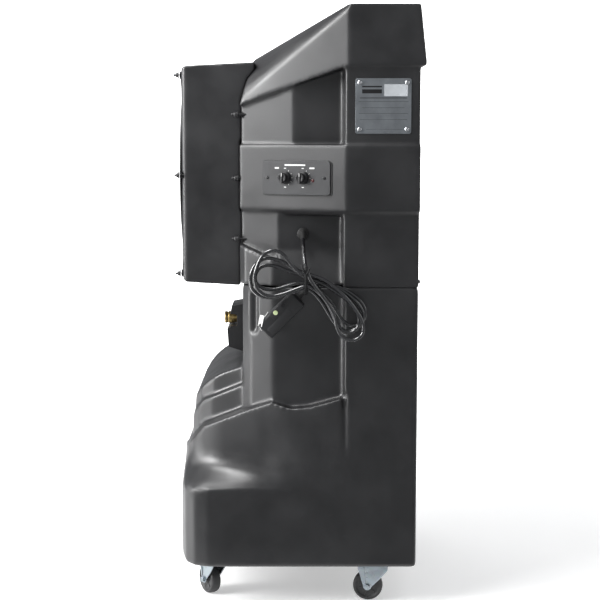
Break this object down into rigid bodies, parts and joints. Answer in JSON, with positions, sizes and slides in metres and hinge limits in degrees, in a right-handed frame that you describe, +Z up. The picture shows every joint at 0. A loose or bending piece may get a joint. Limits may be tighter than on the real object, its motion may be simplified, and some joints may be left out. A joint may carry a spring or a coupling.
{
  "type": "evaporative cooler",
  "caption": "Portable evaporative cooler on swivel casters: moulded black housing over a stepped water reservoir, boxed axial fan with wire guard at the front and a wetted pad at the rear.",
  "frame": {"origin": "middle of the footprint, on the floor under the casters", "axes": "+Z up, front air outlet towards -Y, media pad towards +Y, control panel on the +X side"},
  "size_m": [0.784, 0.55, 1.321],
  "materials": {
    "black_pe": "moulded satin",
    "black_wire": "powder coat",
    "motor_enamel": "satin enamel",
    "zinc_steel": "bright zinc",
    "bright_steel": "polished",
    "aluminium": "mill",
    "cellulose_pad": "fluted",
    "black_plastic": "satin",
    "white_pvc": "satin",
    "black_rubber": "matt",
    "float_plastic": "satin",
    "brass": "machined",
    "panel_grey": "satin",
    "knob_black": "satin",
    "lamp_red": "clear red",
    "cord_jacket": "glossy jacket",
    "gfci_black": "textured",
    "button_green": "satin",
    "plate_aluminium": "brushed",
    "wheel_rubber": "satin"
  },
  "bodies": {
    "root": {"upper_housing": "black_pe", "reservoir_tank": "black_pe", "fan_shroud": "black_pe", "air_duct": "black_pe", "inlet_cover": "black_pe", "fan_guard": "black_wire", "guard_screws": "black_wire", "shroud_bolts": "black_wire", "fan_motor": "motor_enamel", "motor_mount": "zinc_steel", "motor_bolts": "zinc_steel", "media_pad": "cellulose_pad", "pad_frame": "black_plastic", "pad_tray": "black_plastic", "seam_screws": "black_plastic", "water_distributor": "white_pvc", "supply_hose": "black_rubber", "pump_body": "black_plastic", "pump_strainer": "black_plastic", "float_valve": "white_pvc", "float_pin": "bright_steel", "brass_inlet": "brass", "control_plate": "panel_grey", "plate_gasket": "black_rubber", "plate_screws": "black_wire", "rotary_switches": "black_plastic", "indicator_lamp": "lamp_red", "electrical_box": "black_plastic", "cord_gland": "black_plastic", "power_cord": "cord_jacket", "cord_hank": "cord_jacket", "cord_tie": "black_plastic", "gfci_housing": "gfci_black", "plug_pins": "brass", "nameplate": "plate_aluminium", "nameplate_screws": "bright_steel", "caster_plates": "zinc_steel"},
    "fan": {"fan_shaft": "bright_steel", "fan_hub": "aluminium", "fan_blades": "aluminium"},
    "fan_knob": {"fan_knob": "knob_black"},
    "pump_knob": {"pump_knob": "knob_black"},
    "swivel_nut": {"swivel_nut": "brass"},
    "drain_plug": {"drain_plug": "black_plastic"},
    "float": {"float_arm": "brass", "float_ball": "float_plastic"},
    "gfci_reset_button": {"gfci_reset_button": "button_green"},
    "gfci_test_button": {"gfci_test_button": "knob_black"},
    "fork_front_right": {"caster_fork_front_right": "zinc_steel", "caster_axle_front_right": "zinc_steel"},
    "wheel_front_right": {"caster_wheel_front_right": "wheel_rubber"},
    "fork_rear_right": {"caster_fork_rear_right": "zinc_steel", "caster_axle_rear_right": "zinc_steel"},
    "wheel_rear_right": {"caster_wheel_rear_right": "wheel_rubber"},
    "fork_front_left": {"caster_fork_front_left": "zinc_steel", "caster_axle_front_left": "zinc_steel"},
    "wheel_front_left": {"caster_wheel_front_left": "wheel_rubber"},
    "fork_rear_left": {"caster_fork_rear_left": "zinc_steel", "caster_axle_rear_left": "zinc_steel"},
    "wheel_rear_left": {"caster_wheel_rear_left": "wheel_rubber"}
  },
  "joints": [
    {"name": "fan_spin", "type": "hinge", "parent": "root", "child": "fan", "pos_m": [0, -0.183, 0.956], "axis": [0, 1, 0], "continuous": true},
    {"name": "fan_knob_turn", "type": "hinge", "parent": "root", "child": "fan_knob", "pos_m": [0.31507, -0.02742, 0.953], "axis": [-0.8967, 0.4426, 0], "range_deg": [0, 180]},
    {"name": "pump_knob_turn", "type": "hinge", "parent": "root", "child": "pump_knob", "pos_m": [0.3341, 0.01114, 0.953], "axis": [-0.8967, 0.4426, 0], "range_deg": [0, 90]},
    {"name": "hose_nut_spin", "type": "hinge", "parent": "root", "child": "swivel_nut", "pos_m": [0, -0.153, 0.606], "axis": [0, 1, 0], "continuous": true},
    {"name": "drain_plug_turn", "type": "hinge", "parent": "root", "child": "drain_plug", "pos_m": [-0.25, 0.262, 0.128], "axis": [0, 1, 0], "continuous": true},
    {"name": "float_swing", "type": "hinge", "parent": "root", "child": "float", "pos_m": [0, -0.073, 0.598], "axis": [1, 0, 0], "range_deg": [0, 32]},
    {"name": "gfci_reset_press", "type": "slide", "parent": "root", "child": "gfci_reset_button", "axis": [-1, 0, 0], "range_m": [0, 0.0015], "stiffness_N_per_m": 300, "springref_m": -0.0005},
    {"name": "gfci_test_press", "type": "slide", "parent": "root", "child": "gfci_test_button", "axis": [-1, 0, 0], "range_m": [0, 0.0015], "stiffness_N_per_m": 300, "springref_m": -0.0005},
    {"name": "swivel_front_right", "type": "hinge", "parent": "root", "child": "fork_front_right", "pos_m": [0.27, -0.187, 0.086], "axis": [0, 0, 1], "continuous": true},
    {"name": "roll_front_right", "type": "hinge", "parent": "fork_front_right", "child": "wheel_front_right", "pos_m": [0.24922, -0.19998, 0.0335], "axis": [0.5299, -0.848, 0], "continuous": true},
    {"name": "swivel_rear_right", "type": "hinge", "parent": "root", "child": "fork_rear_right", "pos_m": [0.3, 0.185, 0.086], "axis": [0, 0, 1], "continuous": true},
    {"name": "roll_rear_right", "type": "hinge", "parent": "fork_rear_right", "child": "wheel_rear_right", "pos_m": [0.29659, 0.16074, 0.0335], "axis": [0.9903, -0.1392, 0], "continuous": true},
    {"name": "swivel_front_left", "type": "hinge", "parent": "root", "child": "fork_front_left", "pos_m": [-0.27, -0.187, 0.086], "axis": [0, 0, 1], "continuous": true},
    {"name": "roll_front_left", "type": "hinge", "parent": "fork_front_left", "child": "wheel_front_left", "pos_m": [-0.27838, -0.21002, 0.0335], "axis": [0.9397, -0.342, 0], "continuous": true},
    {"name": "swivel_rear_left", "type": "hinge", "parent": "root", "child": "fork_rear_left", "pos_m": [-0.3, 0.185, 0.086], "axis": [0, 0, 1], "continuous": true},
    {"name": "roll_rear_left", "type": "hinge", "parent": "fork_rear_left", "child": "wheel_rear_left", "pos_m": [-0.28595, 0.20507, 0.0335], "axis": [-0.8192, 0.5736, 0], "continuous": true}
  ]
}
